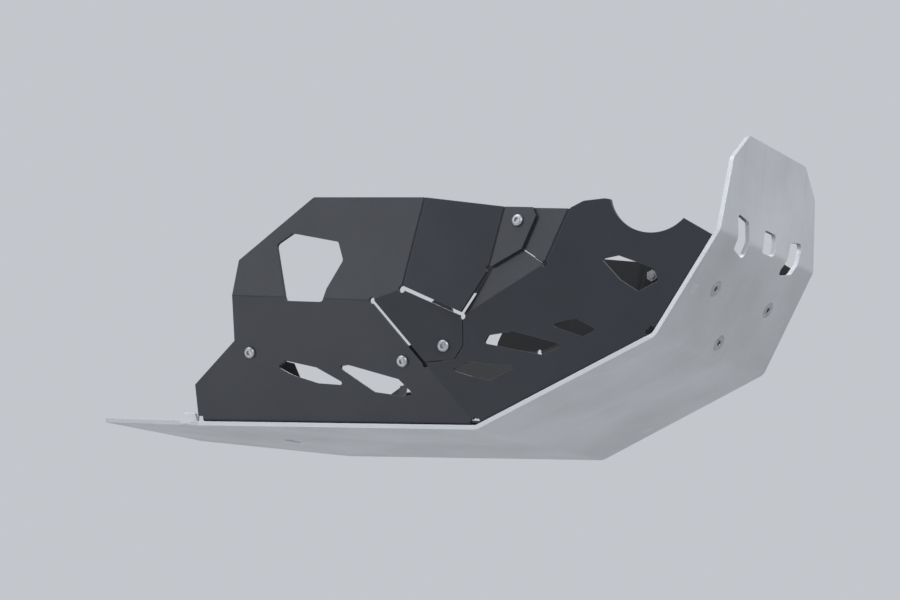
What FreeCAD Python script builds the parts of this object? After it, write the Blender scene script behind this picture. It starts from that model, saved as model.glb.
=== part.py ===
import FreeCAD, Part
import math
import os
from FreeCAD import Vector

# Engine guard for a motorbike: a folded aluminium skid plate with a folded, slit and tabbed
# sheet panel on each side, and the brackets and fasteners that hold it together.
# X points forward, Y to the left and Z up. The origin is the middle of the flat belly's underside.

# Skid plate: its half width at the belly's rear fold, and how much each further line is narrower
plate_thickness = 4.0
plate_bend_radius = 9.0
plate_half_width = 131.0
belly_length = 293.5
fold_1_taper = 7.0
ramp_1_length = 183.0
ramp_1_angle = 26.5
fold_2_taper = 6.0
ramp_2_length = 105.4
ramp_2_angle = 62.0
fold_3_taper = 12.5
front_angle = 87.0
shoulder_length = 64.9
shoulder_taper = 12.5
crown_length = 90.0
crown_taper = 29.0
tail_length = 150.0
tail_rise = 3.0
tail_taper = 49.0
plate_corner_radius = 7.0
drain_slot_length = 34.0
drain_slot_width = 9.0
drain_slot_from_rear = 22.0
ear_length = 22.0
ear_height = 8.0
ear_slope = 5.0
ear_gap = 3.0

# Vents cut through the plate at its last fold
vent_height = 35.0
vent_below_fold = 14.5
vent_width = 26.0
vent_spacing = 56.0
vent_slant = 9.0
vent_foot_rise = 5.0
vent_head_drop = 3.5
middle_vent_height = 20.0
middle_vent_below_fold = 3.0
vent_radius = 4.0

# Side panel sheet
panel_thickness = 3.0
panel_bend_radius = 1.5
foot_bend_radius = 1.0
panel_inset = 1.0
corner_bulge = 35.6
upper_face_tilt = 5.4

# Fold corners of the side panel in side view, as (x, z) with x from the belly's front fold
corner_low_from_fold = (-94.75, 110.0)
corner_front_from_fold = -65.75
bulge_top_from_fold = (-53.75, 203.5)
corner_tip_from_fold = (-9.75, 97.0)
knee_from_fold = (67.25, 142.0)
flange_top_from_fold = (85.25, 190.5)
tab_top_from_fold = (21.75, 194.5)
tab_foot_z = 139.0

# Free edges of the side panel in side view, the front ones with x from the belly's front fold
# and the nose's end from the plate's last fold
front_top_from_fold = [(97.25, 197.5), (115.25, 200.0), (171.25, 190.0)]
nose_end_back = 4.0
nose_end_drop = 6.2
round_cut_from_fold = (154.25, 206.0)
round_cut_radius = 35.0
hidden_edge_from_fold = [(31.25, 193.0), (16.25, 140.0)]
tab_edge_from_fold = [(50.25, 192.8), (54.75, 185.0), (44.25, 155.5)]
upper_top = (-22.0, 207.0)
panel_corner_radius = 5.0
edge_overrun = 15.0

# Free edges of the side panel in side view, with x from the belly's rear fold
bend_rear_from_rear = (51.25, 116.0)
rear_step_from_rear = (48.75, 76.0)
upper_rear_from_rear = (55.75, 151.0)
rear_low_z = 37.0

# Slits, seams and reliefs of the side panel
slit_width = 3.2
slit_length = 73.0
seam_width = 1.0
seam_from_fold = [(-10.25, 72.0), (-18.75, 60.0), (-44.75, 57.0)]
relief_margin = 0.5
bend_groove_width = 2.2
bend_groove_depth = 1.2
tab_gap = 0.3
corner_notch_width = 8.0
corner_notch_height = 6.0

# Openings of the side panel in side view, the middle ones with x from the belly's middle
window = [
    (-55.0, 163.0), (-39.0, 173.5), (10.0, 164.5), (17.5, 147.0),
    (4.0, 121.0), (1.0, 109.0), (-37.5, 110.5),
]
window_radius = 4.0
rear_vents = [
    [(-54.0, 53.0), (-45.0, 58.5), (-12.5, 52.5), (19.0, 37.0), (-11.5, 38.7), (-39.0, 46.0)],
    [(10.0, 53.5), (20.0, 55.0), (72.0, 42.5), (86.0, 29.6), (76.0, 28.0), (46.0, 31.5)],
]
front_vents_from_fold = [
    [(-23.75, 51.5), (-5.75, 58.0), (40.75, 55.5), (13.25, 43.0), (-2.75, 45.5)],
    [(8.75, 74.3), (13.25, 81.5), (35.25, 85.0), (82.25, 73.7), (61.25, 65.3)],
    [(69.25, 90.6), (93.25, 96.2), (111.75, 87.0), (99.25, 81.0)],
    [(114.75, 147.6), (128.25, 151.0), (159.25, 140.2), (163.25, 130.0), (147.25, 120.0), (131.25, 130.0)],
]
panel_vent_radius = 1.6

# Foot flanges that lie on the plate, and the fixings along them
foot_width = 26.0
foot_end_gap = 2.5
foot_relief_width = 5.0
foot_relief_height = 5.0
foot_fixing_from_bend = 14.5
belly_fixing_count = 4
ramp_1_fixing_count = 2
ramp_2_fixing_count = 1

# Panel screws in side view, the rear one with x from the belly's rear fold
rear_screw_from_rear = (64.75, 65.5)
slit_screw_from_fold = (-68.75, 58.0)
flap_screw_from_fold = (-28.25, 71.5)
tab_screw_from_fold = (37.25, 181.0)

# Corner strap behind the slit
strap_thickness = 2.5
strap_half_width = 11.0
strap_overhang = 11.0

# Rear bracket behind the panel's rear screw
bracket_thickness = 3.0
bracket_bend_radius = 1.5
bracket_length = 36.0
bracket_above_screw = 9.0
mount_ear_reach = 34.0
mount_ear_height = 52.0
mount_ear_corner = 12.0
mount_ear_bolt_height = 28.0
mount_ear_bolt_inward = 20.0

# Front bracket behind the second ramp
front_bracket_thickness = 4.0
front_bracket_bend_radius = 3.0
front_bracket_side_gap = 2.5
front_bracket_low = 34.0
front_bracket_high = 84.0
front_tongue_half_width = 17.0
front_tongue_low = 5.0
front_shelf_length = 44.0
front_shelf_bolt = 24.0
front_bolt_from_side = 18.0
front_upper_screw_along = 57.0
front_screw_from_side = 18.0
front_lower_screw_along = 13.5

# Fasteners
thread_diameter = 6.0
hole_clearance = 0.6
hole_reach = 12.0
thread_play = 0.1
button_head_diameter = 11.0
button_head_height = 3.4
button_head_round = 2.4
socket_width = 4.0
socket_depth = 2.0
nut_width = 10.0
nut_height = 5.0
washer_diameter = 12.0
washer_height = 1.6
stud_head_diameter = 9.0
stud_head_height = 1.6
thread_beyond_nut = 2.0
countersunk_thread = 8.0
countersunk_head_diameter = 16.0
countersunk_angle = 90.0
countersunk_socket_width = 5.0
countersunk_socket_depth = 2.6
large_nut_width = 13.0
large_nut_height = 6.5
large_washer_diameter = 16.0
sleeve_stand_out = 0.5

# Rubber bushes and steel sleeves in the bolt holes of the brackets
bush_hole_diameter = 16.0
bush_flange_diameter = 22.0
bush_flange_height = 2.5
sleeve_outer_diameter = 11.0
sleeve_bore = 8.4
bush_play = 0.05

# Reach of the cutters past the guard, and how close two places or directions are to be the same
far = 400.0
same_place = 0.005
same_turn = 0.0001


class Plane:
    """A plane given by a point and an outward unit normal."""

    def __init__(self, point, normal):
        self.point = Vector(point)
        self.normal = Vector(normal).normalize()

    def shifted(self, distance):
        return Plane(self.point + self.normal * distance, self.normal)

    def at(self, side_point):
        """The point of the plane that side view shows at (x, z)."""
        x, z = side_point
        rest = self.normal.x * (x - self.point.x) + self.normal.z * (z - self.point.z)
        return Vector(x, self.point.y - rest / self.normal.y, z)


def meet(first, second, third):
    """The common point of three planes."""
    a = first.normal
    b = second.normal
    c = third.normal
    scale = a.dot(b.cross(c))
    total = b.cross(c) * a.dot(first.point)
    total += c.cross(a) * b.dot(second.point)
    total += a.cross(b) * c.dot(third.point)
    return total / scale


def through(first, second, third):
    """The plane of three points, with its normal to the right-hand side of the guard."""
    normal = (second - first).cross(third - first)
    if normal.y > 0:
        normal = normal * -1
    return Plane(first, normal)


def mitre(first, second):
    """The plane that halves the bend between two faces."""
    line = first.normal.cross(second.normal)
    point = meet(first, second, Plane(first.point, line))
    return Plane(point, first.normal - second.normal)


def side_cut(start, end):
    """A free edge from one side-view point to another, cut along Y."""
    across = Vector(end[1] - start[1], 0, start[0] - end[0])
    return Plane(Vector(start[0], 0, start[1]), across)


def facet(face, bounds, thickness):
    """A flat piece of sheet inside the given face, closed by one plane for each edge in turn."""
    inside = face.shifted(-thickness)
    pairs = list(zip(bounds, bounds[1:] + bounds[:1]))
    outer = [meet(face, first, second) for first, second in pairs]
    inner = [meet(inside, first, second) for first, second in pairs]
    faces = [Part.Face(Part.makePolygon(outer + outer[:1]))]
    faces.append(Part.Face(Part.makePolygon(inner + inner[:1])))
    for k in range(len(outer)):
        n = (k + 1) % len(outer)
        loop = [outer[k], outer[n], inner[n], inner[k], outer[k]]
        faces.append(Part.Face(Part.makePolygon(loop)))
    solid = Part.makeSolid(Part.makeShell(faces))
    if solid.Volume < 0:
        solid.reverse()
    return solid


def rounded(points, radius, closed=True):
    """Edges along a path of points, with an arc of the radius at each corner."""
    count = len(points)
    corners = range(count) if closed else range(1, count - 1)
    starts = list(points)
    ends = list(points)
    arcs = {}
    for k in corners:
        corner = points[k]
        back = (points[k - 1] - corner).normalize()
        onward = (points[(k + 1) % count] - corner).normalize()
        half = back.getAngle(onward) / 2
        reach = radius / math.tan(half)
        middle = (back + onward).normalize() * (radius / math.sin(half) - radius)
        starts[k] = corner + back * reach
        ends[k] = corner + onward * reach
        arcs[k] = Part.Arc(starts[k], corner + middle, ends[k]).toShape()
    edges = []
    for k in range(count):
        if k in arcs:
            edges.append(arcs[k])
        if k < count - 1 or closed:
            n = (k + 1) % count
            if ends[k].distanceToPoint(starts[n]) > same_place:
                edges.append(Part.makeLine(ends[k], starts[n]))
    return edges


def side_prism(points, radius):
    """A prism along Y over a rounded side-view outline on the right-hand side."""
    corners = [Vector(x, -far, z) for x, z in points]
    return Part.Face(Part.Wire(rounded(corners, radius))).extrude(Vector(0, far, 0))


def side_groove(start, end, width):
    """A straight groove along Y between two side-view points."""
    first = Vector(start[0], -far, start[1])
    second = Vector(end[0], -far, end[1])
    run = (second - first).normalize()
    half = Vector(-run.z, 0, run.x) * (width / 2)
    loop = [first + half, second + half, second - half, first - half, first + half]
    return Part.Face(Part.makePolygon(loop)).extrude(Vector(0, far, 0))


def corner_notch(foot_corner, bend_top):
    """A square notch at the foot of a bend, where two foot flanges come together."""
    foot = (foot_corner.x, foot_corner.z)
    run = Vector(bend_top[0] - foot[0], 0, bend_top[1] - foot[1]).normalize()
    top = (foot[0] + run.x * corner_notch_height, foot[1] + run.z * corner_notch_height)
    bottom = (foot[0] - run.x * corner_notch_height, foot[1] - run.z * corner_notch_height)
    return side_groove(bottom, top, corner_notch_width)


def side_hole(centre, radius):
    return Part.makeCylinder(radius, far, Vector(centre[0], -far, centre[1]), Vector(0, 1, 0))


def soften(shape, face_pairs, radius):
    """Rounds the edges where the two faces of each given pair meet."""
    chosen = []
    for edge in shape.Edges:
        sides = shape.ancestorsOfType(edge, Part.Face)
        normals = [side.normalAt(0, 0) for side in sides if isinstance(side.Surface, Part.Plane)]
        for first, second in face_pairs:
            matches = [normal.dot(first.normal) + normal.dot(second.normal) for normal in normals]
            level = 1 + first.normal.dot(second.normal)
            on_both = [abs(abs(match) - level) < same_turn for match in matches]
            gap = max(abs((vertex.Point - first.point).dot(first.normal)) for vertex in edge.Vertexes)
            gap += max(abs((vertex.Point - second.point).dot(second.normal)) for vertex in edge.Vertexes)
            if len(on_both) == 2 and all(on_both) and gap < same_place:
                chosen.append(edge)
    return shape.makeFillet(radius, chosen)


def inside_of(face_pairs):
    """The pairs of faces on the sheet's other side."""
    depth = -panel_thickness
    return [(first.shifted(depth), second.shifted(depth)) for first, second in face_pairs]


def mirrored(shape):
    return shape.mirror(Vector(0, 0, 0), Vector(0, 1, 0))


def run_on(point, length, angle):
    """The side-view point that lies a length from another, at an angle to the ground."""
    rise = math.radians(angle)
    return point + Vector(math.cos(rise), 0, math.sin(rise)) * length


fold_1_half_width = plate_half_width - fold_1_taper
fold_2_half_width = fold_1_half_width - fold_2_taper
fold_3_half_width = fold_2_half_width - fold_3_taper
shoulder_half_width = fold_3_half_width - shoulder_taper
crown_half_width = shoulder_half_width - crown_taper
tail_half_width = plate_half_width - tail_taper

# Underside of the plate in side view, from the tail to the crown
belly_rear = Vector(-belly_length / 2, 0, 0)
tail_end = run_on(belly_rear, tail_length, 180 - tail_rise)
fold_1 = Vector(belly_length / 2, 0, 0)
fold_2 = run_on(fold_1, ramp_1_length, ramp_1_angle)
fold_3 = run_on(fold_2, ramp_2_length, ramp_2_angle)
shoulder = run_on(fold_3, shoulder_length, front_angle)
crown = run_on(fold_3, crown_length, front_angle)
underside = [tail_end, belly_rear, fold_1, fold_2, fold_3, crown]


def inner_side(points, distance):
    """The path of points moved by the distance to its upper side, with mitred corners."""
    moved = []
    for k, point in enumerate(points):
        before = points[max(k - 1, 0)]
        after = points[min(k + 1, len(points) - 1)]
        first = point - before if k > 0 else after - point
        second = after - point if k < len(points) - 1 else first
        up_1 = Vector(-first.z, 0, first.x).normalize()
        up_2 = Vector(-second.z, 0, second.x).normalize()
        half = (up_1 + up_2).normalize()
        moved.append(point + half * (distance / half.dot(up_1)))
    return moved


upper_side = inner_side(underside, plate_thickness)
ramp_1_run = (fold_2 - fold_1).normalize()
ramp_2_run = (fold_3 - fold_2).normalize()
belly_top = Plane(upper_side[2], Vector(0, 0, -1))
ramp_1_top = Plane(upper_side[2], Vector(ramp_1_run.z, 0, -ramp_1_run.x))
ramp_2_top = Plane(upper_side[3], Vector(ramp_2_run.z, 0, -ramp_2_run.x))


def from_fold(point):
    """A side-view point given from the belly's front fold."""
    return (fold_1.x + point[0], point[1])


def from_rear(point):
    """A side-view point given from the belly's rear fold."""
    return (belly_rear.x + point[0], point[1])


corner_low = from_fold(corner_low_from_fold)
bulge_top = from_fold(bulge_top_from_fold)
corner_tip = from_fold(corner_tip_from_fold)
knee = from_fold(knee_from_fold)
flange_top = from_fold(flange_top_from_fold)
tab_top = from_fold(tab_top_from_fold)
round_cut_centre = from_fold(round_cut_from_fold)
hidden_edge = [from_fold(point) for point in hidden_edge_from_fold]
tab_edge = [from_fold(point) for point in tab_edge_from_fold]
front_top = [from_fold(point) for point in front_top_from_fold]
front_top.append((fold_3.x - nose_end_back, fold_3.z - nose_end_drop))
top_edge = [upper_top, bulge_top, tab_top, flange_top] + front_top
bend_rear = from_rear(bend_rear_from_rear)
rear_step = from_rear(rear_step_from_rear)
rear_screw = from_rear(rear_screw_from_rear)
slit_screw = from_fold(slit_screw_from_fold)
flap_screw = from_fold(flap_screw_from_fold)
tab_screw = from_fold(tab_screw_from_fold)

# Reliefs at the ends of bends and slits, which take in the rounded outsides of the bends there
relief_radius = (panel_bend_radius + panel_thickness) / 2 + relief_margin

# Faces of the right-hand side panel, each fixed by the corners that it shares
low_rear = Vector(belly_rear.x, panel_inset - plate_half_width, plate_thickness)
low_1 = Vector(upper_side[2].x, panel_inset - fold_1_half_width, upper_side[2].z)
low_2 = Vector(upper_side[3].x, panel_inset - fold_2_half_width, upper_side[3].z)
low_3 = Vector(upper_side[4].x, panel_inset - fold_3_half_width, upper_side[4].z)
foot_chord = through(low_rear, low_2, low_2 + Vector(0, 0, 1))
corner = foot_chord.at(corner_low) - Vector(0, corner_bulge, 0)
front_face = through(low_1, low_2, corner)
rear_face = through(low_rear, low_1, corner)
bend_end = rear_face.at(bend_rear)
tilt = math.radians(upper_face_tilt)
upper_face = through(corner, bend_end, corner + Vector(0, math.sin(tilt), math.cos(tilt)))
nose_face = through(low_2, low_3, front_face.at(knee))
flange_face = through(front_face.at(corner_tip), front_face.at(knee), nose_face.at(flange_top))
tab_face = flange_face.shifted(panel_thickness + tab_gap)
corner_front_cut = Plane(Vector(fold_1.x + corner_front_from_fold, 0, 0), Vector(1, 0, 0))
corner_front = meet(upper_face, front_face, corner_front_cut)
link_face = through(corner_front, upper_face.at(bulge_top), tab_face.at(tab_top))
trim_height = max(z for x, z in top_edge) + edge_overrun
trim_level = Plane(Vector(0, 0, trim_height), Vector(0, 0, 1))
tab_foot = meet(link_face, tab_face, Plane(Vector(0, 0, tab_foot_z), Vector(0, 0, 1)))
slit_run = Vector(low_1.x - corner_low[0], 0, low_1.z - corner_low[1]).normalize()
slit_foot = (corner_low[0] + slit_run.x * slit_length, corner_low[1] + slit_run.z * slit_length)


def inward_from(foot, run):
    """The direction in a foot's plane that leads from the run of its bend to the guard's middle."""
    inward = foot.normal.cross(run).normalize()
    return inward if inward.y > 0 else inward * -1


def foot_flange(foot, face, start, end):
    """A flange turned in from the foot of a face, lying on the plate between two fold corners."""
    run = (end - start).normalize()
    inward = inward_from(foot, run)
    first_end = Plane(start + run * foot_end_gap, run)
    inner_edge = Plane(start + inward * foot_width, inward)
    last_end = Plane(end - run * foot_end_gap, run)
    return facet(foot, [mitre(foot, face), first_end, inner_edge, last_end], panel_thickness)


def foot_relief(foot, start, end):
    """A square notch at the end of a foot flange, where its bend stops."""
    run = (end - start).normalize()
    inward = inward_from(foot, run)
    first = start + run * (foot_end_gap - foot_relief_width / 2)
    up = foot.normal * -foot_relief_height
    across = inward * (foot_width + panel_thickness)
    loop = [first - across, first + across, first + across + up, first - across + up, first - across]
    return Part.Face(Part.makePolygon(loop)).extrude(run * foot_relief_width)


def foot_places(foot, start, end, count):
    """Evenly spaced fixing places on a foot flange, on the plate's upper side."""
    run = end - start
    inward = inward_from(foot, run)
    places = []
    for k in range(count):
        share = (k + 1.0) / (count + 1.0)
        places.append(start + run * share + inward * foot_fixing_from_bend)
    return places


feet = [
    (belly_top, rear_face, low_rear, low_1, belly_fixing_count),
    (ramp_1_top, front_face, low_1, low_2, ramp_1_fixing_count),
    (ramp_2_top, nose_face, low_2, low_3, ramp_2_fixing_count),
]
foot_fixings = []
for foot, face, start, end, count in feet:
    for place in foot_places(foot, start, end, count):
        foot_fixings.append((place, foot.normal))


def skid_plate():
    """The folded base plate with its tapered outline, vents, holes and rear ears."""
    lower = rounded(underside, plate_bend_radius + plate_thickness, closed=False)
    upper = rounded(upper_side, plate_bend_radius, closed=False)
    ends = [Part.makeLine(underside[0], upper_side[0]), Part.makeLine(underside[-1], upper_side[-1])]
    profile = Part.Wire(Part.__sortEdges__(lower + upper + ends))
    body = Part.Face(profile).extrude(Vector(0, 2 * far, 0))
    body.translate(Vector(0, -far, 0))
    plan = [(tail_end.x, tail_half_width), (belly_rear.x, plate_half_width)]
    plan += [(fold_1.x, fold_1_half_width), (fold_2.x, fold_2_half_width), (far, fold_2_half_width)]
    plan += [(x, -y) for x, y in reversed(plan)]
    outline = [Vector(x, y, -far) for x, y in plan]
    plan_face = Part.Face(Part.Wire(rounded(outline, plate_corner_radius)))
    body = body.common(plan_face.extrude(Vector(0, 0, 2 * far)))
    front = [(fold_2_half_width, fold_2.z), (fold_3_half_width, fold_3.z)]
    front += [(shoulder_half_width, shoulder.z), (crown_half_width, crown.z)]
    front += [(-y, z) for y, z in reversed(front)]
    edge = [Vector(-far, y, z) for y, z in front]
    below = [(-far, fold_2.z), (-far, -far), (far, -far), (far, fold_2.z)]
    rest = [edge[-1]] + [Vector(-far, y, z) for y, z in below] + [edge[0]]
    border = rounded(edge, plate_corner_radius, closed=False) + Part.makePolygon(rest).Edges
    front_view = Part.Face(Part.Wire(Part.__sortEdges__(border)))
    body = body.common(front_view.extrude(Vector(2 * far, 0, 0)))
    for vent in plate_vents():
        body = body.cut(vent)
    body = body.cut(drain_slot())
    for place, down in foot_fixings:
        body = body.cut(stud_hole(place, down))
        flipped = Vector(place.x, -place.y, place.z)
        body = body.cut(stud_hole(flipped, down))
    for place, down in front_fixings:
        body = body.cut(countersunk_hole(place, down))
    right_ear = plate_ear()
    return body.fuse(right_ear).fuse(mirrored(right_ear)).removeSplitter()


def drain_slot():
    """Cutter for the round-ended slot across the belly near its rear fold."""
    x = belly_rear.x + drain_slot_from_rear
    radius = drain_slot_width / 2
    end = drain_slot_length / 2 - radius
    cutter = Part.makeBox(drain_slot_width, 2 * end, 2 * far, Vector(x - radius, -end, -far))
    for y in (-end, end):
        cutter = cutter.fuse(Part.makeCylinder(radius, 2 * far, Vector(x, y, -far)))
    return cutter


def plate_vents():
    """Cutters for the three vents at the last fold, the outer two slanting inwards to their feet."""
    low = fold_3.z - vent_below_fold
    high = low + vent_height
    half = vent_width / 2
    foot_y = vent_spacing - vent_slant / 2
    head_y = vent_spacing + vent_slant / 2
    outer = [(foot_y - half, low), (foot_y + half, low + vent_foot_rise)]
    outer += [(head_y + half, high), (head_y - half, high - vent_head_drop)]
    foot = fold_3.z - middle_vent_below_fold
    head = foot + middle_vent_height
    middle = [(-half, foot), (half, foot), (half, head), (-half, head)]
    cutters = []
    for outline in (outer, middle, [(-y, z) for y, z in outer]):
        corners = [Vector(fold_2.x, y, z) for y, z in outline]
        cutters.append(Part.Face(Part.Wire(rounded(corners, vent_radius))).extrude(Vector(far, 0, 0)))
    return cutters


def plate_ear():
    """A short ear turned up from the plate's right edge just behind the panel."""
    y = -plate_half_width + plate_thickness
    front = belly_rear.x - ear_gap
    low = plate_thickness / 2
    high = plate_thickness + ear_height
    rear = front - ear_length
    loop = [(front, low), (front - ear_slope, high), (rear + ear_slope, high), (rear, low)]
    corners = [Vector(x, y, z) for x, z in loop]
    return Part.Face(Part.makePolygon(corners + corners[:1])).extrude(Vector(0, plate_thickness, 0))


def stud_hole(place, down):
    """A clearance hole through the plate with a flush seat for the stud's head."""
    bottom = place + down * plate_thickness
    hole = Part.makeCylinder((thread_diameter + hole_clearance) / 2, plate_thickness, bottom, down * -1)
    seat = Part.makeCylinder(stud_head_diameter / 2, stud_head_height, bottom, down * -1)
    return hole.fuse(seat)


def side_panel():
    """One sheet folded into the rear, upper, front, nose and flange faces, with its flaps."""
    sheet = panel_thickness
    rear = facet(rear_face, [
        mitre(rear_face, belly_top),
        mitre(rear_face, front_face),
        mitre(rear_face, upper_face),
        side_cut(bend_rear, rear_step),
        side_cut(rear_step, (low_rear.x, rear_low_z)),
        side_cut((low_rear.x, rear_low_z), (low_rear.x, 0)),
    ], sheet)
    upper = facet(upper_face, [
        mitre(upper_face, rear_face),
        mitre(upper_face, front_face),
        mitre(upper_face, link_face),
        trim_level,
        side_cut(bend_rear, rear_step),
    ], sheet)
    front = facet(front_face, [
        mitre(front_face, ramp_1_top),
        mitre(front_face, nose_face),
        mitre(front_face, flange_face),
        side_cut(corner_tip, (corner_front.x, corner_front.z)),
        mitre(front_face, upper_face),
        mitre(front_face, rear_face),
    ], sheet)
    nose = facet(nose_face, [
        mitre(nose_face, ramp_2_top),
        Plane(low_3, Vector(1, 0, 0)),
        trim_level,
        mitre(nose_face, flange_face),
        mitre(nose_face, front_face),
    ], sheet)
    flange = facet(flange_face, [
        mitre(flange_face, front_face),
        mitre(flange_face, nose_face),
        trim_level,
        side_cut(hidden_edge[0], hidden_edge[1]),
        side_cut(hidden_edge[1], corner_tip),
    ], sheet)
    slit_along = Vector(corner_tip[0] - corner_front.x, 0, corner_tip[1] - corner_front.z)
    lift = slit_along.normalize() * slit_width
    link_rear = (corner_front.x - lift.z, corner_front.z + lift.x)
    link_tip = (corner_tip[0] - lift.z, corner_tip[1] + lift.x)
    link = facet(link_face, [
        mitre(link_face, upper_face),
        trim_level,
        mitre(link_face, tab_face),
        side_cut((tab_foot.x, tab_foot.z), link_tip),
        side_cut(link_tip, link_rear),
    ], sheet)
    tab = facet(tab_face, [
        mitre(tab_face, link_face),
        trim_level,
        side_cut(tab_edge[1], tab_edge[2]),
        side_cut(tab_edge[2], (tab_foot.x, tab_foot.z)),
    ], sheet).cut(tab_corner())
    pieces = [upper, front, nose, flange, link, tab]
    for foot, face, start, end, count in feet:
        pieces.append(foot_flange(foot, face, start, end))
    panel = rear.multiFuse(pieces).removeSplitter()
    panel = panel.cut(side_groove(corner_low, slit_foot, slit_width))
    seam = [corner_tip] + [from_fold(point) for point in seam_from_fold]
    for start, end in zip(seam, seam[1:]):
        panel = panel.cut(side_groove(start, end, seam_width))
    panel = panel.cut(side_groove(knee, tab_edge[2], seam_width))
    for place in (corner_low, slit_foot, corner_tip, knee):
        panel = panel.cut(side_hole(place, relief_radius))
    panel = panel.cut(side_hole((corner_front.x, corner_front.z), slit_width))
    for foot, face, start, end, count in feet:
        panel = panel.cut(foot_relief(foot, start, end)).cut(foot_relief(foot, end, start))
    for foot_corner, bend_top in ((low_1, corner_low), (low_2, knee)):
        panel = panel.cut(corner_notch(foot_corner, bend_top))
    tab_depth = panel_thickness + tab_gap / 2
    tab_relief = tab_foot - tab_face.normal * tab_depth
    panel = panel.cut(Part.makeCylinder(relief_radius, far, tab_relief, tab_face.normal))
    outward_bends = [(rear_face, upper_face), (rear_face, front_face), (upper_face, front_face)]
    outward_bends += [(upper_face, link_face), (front_face, flange_face)]
    outward_bends += [(front_face, nose_face), (nose_face, flange_face)]
    foot_bends = [(rear_face, belly_top), (front_face, ramp_1_top), (nose_face, ramp_2_top)]
    panel = soften(panel, outward_bends, panel_bend_radius + sheet)
    panel = soften(panel, inside_of(outward_bends), panel_bend_radius)
    panel = soften(panel, [(link_face, tab_face)], panel_bend_radius)
    panel = soften(panel, inside_of([(link_face, tab_face)]), panel_bend_radius + sheet)
    panel = soften(panel, foot_bends, foot_bend_radius + sheet)
    panel = soften(panel, inside_of(foot_bends), foot_bend_radius)
    panel = panel.cut(bend_groove(upper_face, link_face, corner_front))
    panel = panel.cut(bend_groove(link_face, tab_face, tab_foot))
    panel = panel.cut(bend_groove(flange_face, nose_face, front_face.at(knee)))
    panel = panel.cut(side_prism(above_top_edge(), panel_corner_radius))
    panel = panel.cut(side_hole(round_cut_centre, round_cut_radius))
    panel = panel.cut(side_prism(window, window_radius))
    front_vents = [[from_fold(point) for point in vent] for vent in front_vents_from_fold]
    for vent in rear_vents + front_vents:
        panel = panel.cut(side_prism(vent, panel_vent_radius))
    for face, place in panel_screw_places:
        panel = panel.cut(thread_hole(face.at(place), face.normal))
    for place, down in foot_fixings:
        panel = panel.cut(thread_hole(place, down))
    return panel


def bend_groove(first, second, end):
    """A groove along a bend on the sheet's outside, from above the top edge down to the bend's end."""
    start = meet(first, second, trim_level)
    out = (first.normal + second.normal).normalize() * bend_groove_depth
    across = (end - start).cross(out).normalize() * (bend_groove_width / 2)
    low = start - out
    high = start + out
    loop = [low - across, low + across, high + across, high - across, low - across]
    return Part.Face(Part.makePolygon(loop)).extrude(end - start)


def tab_corner():
    """Cutter for the slanting corner at the tab's top, which runs past the edge at both ends."""
    first = Vector(tab_edge[0][0], 0, tab_edge[0][1])
    second = Vector(tab_edge[1][0], 0, tab_edge[1][1])
    run = (second - first).normalize() * edge_overrun
    out = Vector(-run.z, 0, run.x)
    first = first - run + out
    second = second + run + out
    return side_groove((first.x, first.z), (second.x, second.z), 2 * edge_overrun)


def above_top_edge():
    """Side-view outline of everything above the panel's top edge."""
    upper_rear = from_rear(upper_rear_from_rear)
    back = Vector(upper_rear[0] - upper_top[0], 0, upper_rear[1] - upper_top[1])
    back = back * (1 + edge_overrun / back.Length)
    first = (upper_top[0] + back.x, upper_top[1] + back.z)
    edge = [first] + top_edge
    return edge + [(far, front_top[-1][1] - panel_corner_radius), (far, far), (first[0], far)]


panel_screw_places = [
    (rear_face, rear_screw),
    (rear_face, slit_screw),
    (front_face, flap_screw),
    (tab_face, tab_screw),
]


def thread_hole(place, direction):
    """A clearance hole for a panel screw, through the sheets on both sides of a place."""
    radius = (thread_diameter + hole_clearance) / 2
    return Part.makeCylinder(radius, 2 * hole_reach, place - direction * hole_reach, direction)


front_bracket_half_width = fold_3_half_width - panel_inset - foot_width - front_bracket_side_gap
front_screw_spread = front_bracket_half_width - front_screw_from_side
front_fixings = []
for along, across in (
    (front_upper_screw_along, -front_screw_spread),
    (front_upper_screw_along, front_screw_spread),
    (front_lower_screw_along, 0),
):
    front_fixings.append((fold_2 + ramp_2_run * along + Vector(0, across, 0), ramp_2_top.normal))


def countersunk_hole(place, outward):
    """A hole with a conical seat on the plate's outside."""
    radius = (countersunk_thread + hole_clearance) / 2
    hole = Part.makeCylinder(radius, 2 * plate_thickness, place + outward, outward * -1)
    head = countersunk_head_diameter / 2
    depth = (head - radius) / math.tan(math.radians(countersunk_angle / 2))
    seat = Part.makeCone(head, radius, depth, place, outward * -1)
    return hole.fuse(seat)


def hex_prism(width, height, place, direction):
    """A six-sided prism of the width across its flats."""
    start = direction.cross(Vector(1, 0, 0)).normalize() * (width / math.sqrt(3))
    turn = [FreeCAD.Rotation(direction, 60 * k).multVec(start) for k in range(6)]
    corners = [place + arm for arm in turn]
    return Part.Face(Part.makePolygon(corners + corners[:1])).extrude(direction * height)


def tube(outer, inner, height, place, direction):
    """A ring or tube of the two diameters, from a place along a direction."""
    body = Part.makeCylinder(outer / 2, height, place, direction)
    return body.cut(Part.makeCylinder(inner / 2, height, place, direction))


def button_screw(place, outward, grip):
    """A button-head socket screw seated on a face, long enough for the grip and its nut."""
    head = Part.makeCylinder(button_head_diameter / 2, button_head_height, place, outward)
    top = place + outward * button_head_height
    crown_edges = [edge for edge in head.Edges if edge.BoundBox.Center.isEqual(top, same_place)]
    head = head.makeFillet(button_head_round, crown_edges)
    head = head.cut(hex_prism(socket_width, socket_depth, top, outward * -1))
    length = grip + nut_height + thread_beyond_nut
    return head.fuse(Part.makeCylinder(thread_diameter / 2, length, place, outward * -1)).removeSplitter()


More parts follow.
